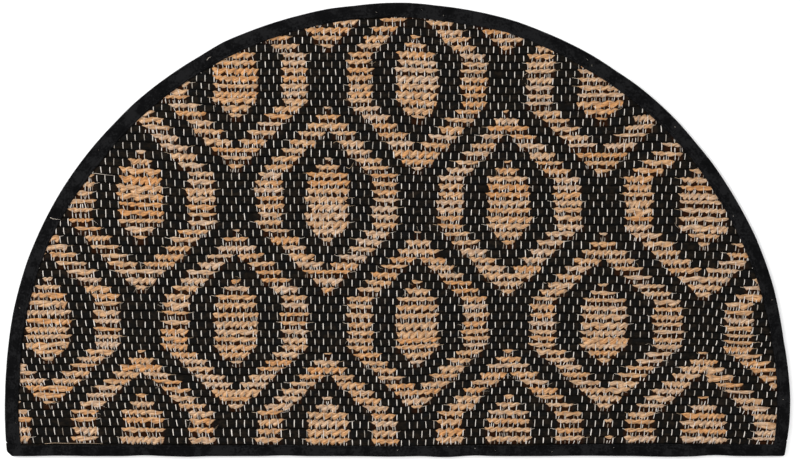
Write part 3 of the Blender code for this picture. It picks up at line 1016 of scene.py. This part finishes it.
# Stitches that hold the tape, sunk a little in its seam
def tapeStitches(name, runs, material):
    stitch = {
        "length": 0.0029, "pitch": 0.0036, "halfWidth": 0.00027, "flat": 0.8, "sides": 4, "depth": 0.0004,
        "fromEnd": 0.006, "stops": np.array([-0.5, -0.3, 0.0, 0.3, 0.5]),
        "heights": np.array([-0.0005, 0.0, 0.00012, 0.0, -0.0005]),
    }
    bundle = newBundle()
    for (outer, inner, _), face in runs:
        width = np.linalg.norm(inner - outer, axis=1)[:, None]
        line = outer + (inner - outer) / width * face * tape["seamAt"]
        run = runAlong(line)
        middles = np.arange(stitch["fromEnd"], run[-1] - stitch["fromEnd"], stitch["pitch"])
        at = (middles + rng.normal(0, 0.00012, len(middles)))[:, None] + stitch["stops"] * stitch["length"]
        x = np.interp(at, run, line[:, 0])
        y = np.interp(at, run, line[:, 1])
        z = mat["tapeTop"] - stitch["depth"] + stitch["heights"] * np.ones_like(x)
        ahead = np.stack([np.gradient(x, axis=1), np.gradient(y, axis=1)], axis=-1)
        ahead /= np.linalg.norm(ahead, axis=-1)[..., None]
        side = np.stack([-ahead[..., 1], ahead[..., 0], np.zeros_like(x)], axis=-1) * stitch["halfWidth"]
        up = np.zeros_like(side)
        up[..., 2] = stitch["halfWidth"] * stitch["flat"]
        addTubes(bundle, np.stack([x, y, z], axis=-1), side, up, stitch["sides"], at, rng.uniform(0, 1, len(x)))
    return joinedPiece(name, bundle, material, pressed=False)


print("frame is in, floats charted:", sum(len(floats) for floats in floatsOf.values()))
ragCloth = ragMaterial()
juteYarn = juteMaterial()
warpCotton = warpMaterial()
tapeCotton = tapeMaterial()

ground = groundCloth("groundCloth", groundMaterial())
half = 29  # the row where the far pieces end
farRows = range(-1, half)
nearRows = range(half, weave["rows"])
threads = [
    ragWeft("ragWeftFar", farRows, ragCloth),
    ragWeft("ragWeftNear", range(half, weave["rows"] + 1), ragCloth),
    juteFloats("juteFloatsFar", farRows, juteYarn),
    juteFloats("juteFloatsNear", nearRows, juteYarn),
    warpTicks("warpTicks", warpCotton),
    warpBinders("warpBinders", warpCotton),
    warpBelowJute("warpBelowJute", warpCotton),
    looseFibres("looseFibres", fibreMaterial()),
]
print("weave laid")

arcLine, straightLine = arcRun(720, tape["tuckedIn"]), straightRun(460)
arcTape = foldedTape("arcTape", arcLine, mat["arcTape"], 3.0, "arc_binding", tape["tuckedIn"], tapeCotton)
straightTape = foldedTape("straightTape", straightLine, mat["straightTape"], 11.0, "straight_binding", 0.0,
                          tapeCotton)
stitches = tapeStitches("tapeStitches", [(arcLine, mat["arcTape"]), (straightLine, mat["straightTape"])],
                        threadMaterial())
print("tape folded on and sewn")

# Plain pale floor, soft light and the camera straight above, as in the photograph
room = {
    "floor": (0.95, 0.95, 0.95), "cameraX": 0.0036, "cameraY": -0.0042, "viewWidth": 0.7148, "lens": 100.0,
    "sensor": 36.0, "skyLight": 0.61,
}
bpy.ops.mesh.primitive_plane_add(size=8)
floor = bpy.context.object
floor.name = "paleFloor"
material, tree, shader = newCloth("pale floor", 0.9, 0.2)
shader.inputs["Base Color"].default_value = (*room["floor"], 1.0)
floor.data.materials.append(material)
lights = {  # place, size and power
    "softKey": ((-1.4, 0.8, 1.25), 1.3, 39),
    "softFill": ((1.1, 0.3, 1.8), 1.6, 14),
    "softFront": ((0.0, -1.3, 1.7), 1.6, 13),
}
for name, (place, size, power) in lights.items():
    bpy.ops.object.light_add(type="AREA", location=place)
    lamp = bpy.context.object
    lamp.name = name
    lamp.data.size = size
    lamp.data.energy = power
    lamp.rotation_euler = (-Vector(place)).to_track_quat("-Z", "Y").to_euler()
world = bpy.data.worlds.new("soft white room")
world.use_nodes = True
sky = world.node_tree.nodes["Background"].inputs
sky["Color"].default_value = (1, 1, 1, 1)
sky["Strength"].default_value = room["skyLight"]
bpy.context.scene.world = world
distance = room["viewWidth"] * room["lens"] / room["sensor"]
place = (room["cameraX"], room["cameraY"], mat["thick"] + distance)
bpy.ops.object.camera_add(location=place, rotation=(0, 0, 0))
camera = bpy.context.object
camera.data.lens = room["lens"]
camera.data.sensor_width = room["sensor"]
camera.data.dof.use_dof = False
bpy.context.scene.camera = camera
bpy.context.scene.view_settings.view_transform = "Standard"
print("studio set")
